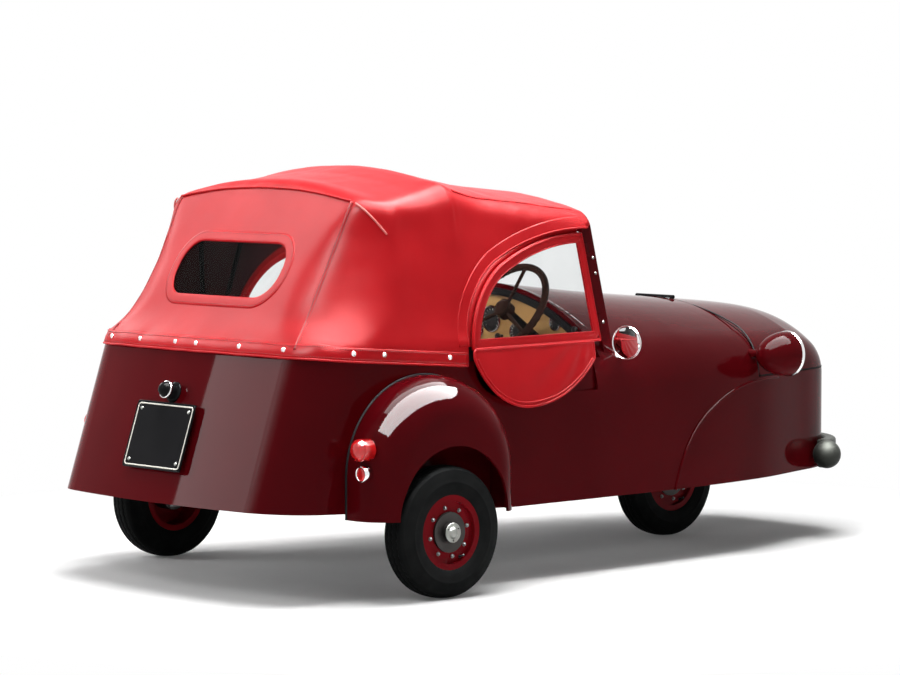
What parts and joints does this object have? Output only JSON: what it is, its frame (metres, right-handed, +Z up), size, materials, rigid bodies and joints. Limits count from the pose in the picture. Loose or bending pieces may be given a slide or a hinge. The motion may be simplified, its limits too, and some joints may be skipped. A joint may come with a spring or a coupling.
{
  "type": "three wheeled car",
  "caption": "Small open three-wheeled car with its hood up: steered front wheel with the engine on its fork, bolt-on rear wings, hinged bonnet and side screens.",
  "frame": {"origin": "on the ground under the middle of the car's outer box", "axes": "+X forward, +Y to the car's left, +Z up"},
  "size_m": [2.848, 1.496, 1.3079],
  "materials": {
    "body_paint": "gloss",
    "hood_cloth": "satin",
    "wheel_paint": "gloss",
    "tyre": "matte",
    "hub_metal": "satin",
    "bumper_metal": "satin",
    "chrome": "polished",
    "black_paint": "satin",
    "steel": "satin",
    "engine_metal": "rough",
    "floor_metal": "dull",
    "clear_sheet": "clear",
    "lamp_glass": "clear",
    "red_lens": "gloss",
    "dash_wood": "satin",
    "black_trim": "matte",
    "seat_cloth": "satin"
  },
  "bodies": {
    "body": {"tail_body": "body_paint", "front_body": "body_paint", "bulkhead": "black_paint", "floor_pan": "floor_metal", "grille_bars": "bumper_metal", "bumper": "bumper_metal", "wing_left": "body_paint", "wing_right": "body_paint", "stub_axles": "steel", "headlamp_shells": "body_paint", "headlamp_glasses": "lamp_glass", "rear_plate": "black_paint", "plate_lamp": "black_paint", "tail_lamps": "red_lens", "reflectors": "red_lens", "windscreen_frame": "body_paint", "windscreen_glass": "clear_sheet", "hood": "hood_cloth", "rear_window": "clear_sheet", "hood_bows": "black_paint", "dashboard": "dash_wood", "dash_roll": "black_trim", "steering_column": "black_paint", "seat_cushion": "seat_cloth", "seat_back": "seat_cloth", "mirror": "chrome"},
    "fork": {"fork": "black_paint", "front_axle": "steel", "engine": "engine_metal"},
    "front_wheel": {"front_tyre": "tyre", "front_rim": "wheel_paint", "front_hub": "hub_metal"},
    "rear_left_wheel": {"rear_left_tyre": "tyre", "rear_left_rim": "wheel_paint", "rear_left_hub": "hub_metal"},
    "rear_right_wheel": {"rear_right_tyre": "tyre", "rear_right_rim": "wheel_paint", "rear_right_hub": "hub_metal"},
    "bonnet": {"bonnet": "body_paint", "bonnet_knob": "chrome"},
    "steering_wheel": {"steering_wheel": "black_trim"},
    "side_screen_left": {"side_screen_left": "hood_cloth", "side_pane_left": "clear_sheet"},
    "side_screen_right": {"side_screen_right": "hood_cloth", "side_pane_right": "clear_sheet"}
  },
  "joints": [
    {"name": "steer", "type": "hinge", "parent": "body", "child": "fork", "pos_m": [0.834, 0, 0.45], "axis": [0, 0, 1], "range_deg": [-35, 35]},
    {"name": "front_wheel_spin", "type": "hinge", "parent": "fork", "child": "front_wheel", "pos_m": [0.834, 0, 0.2035], "axis": [0, 1, 0], "continuous": true},
    {"name": "rear_left_spin", "type": "hinge", "parent": "body", "child": "rear_left_wheel", "pos_m": [-0.817, 0.686, 0.2035], "axis": [0, 1, 0], "continuous": true},
    {"name": "rear_right_spin", "type": "hinge", "parent": "body", "child": "rear_right_wheel", "pos_m": [-0.817, -0.686, 0.2035], "axis": [0, 1, 0], "continuous": true},
    {"name": "bonnet_lift", "type": "hinge", "parent": "body", "child": "bonnet", "pos_m": [0.786, 0, 0.838], "axis": [0, -1, 0], "range_deg": [0, 60]},
    {"name": "steering_wheel_turn", "type": "hinge", "parent": "body", "child": "steering_wheel", "pos_m": [-0.137, -0.23, 0.835], "axis": [-0.8192, 0, 0.5736], "range_deg": [-211, 211]},
    {"name": "side_screen_left_open", "type": "hinge", "parent": "body", "child": "side_screen_left", "pos_m": [0.003, 0.529, 0.796], "axis": [0.1818, 0.0718, -0.9807], "range_deg": [0, 75]},
    {"name": "side_screen_right_open", "type": "hinge", "parent": "body", "child": "side_screen_right", "pos_m": [0.003, -0.529, 0.796], "axis": [-0.1818, 0.0718, 0.9807], "range_deg": [0, 75]}
  ],
  "couplings": [
    {"joint": "steering_wheel_turn", "follows": "steer", "ratio": 6}
  ]
}
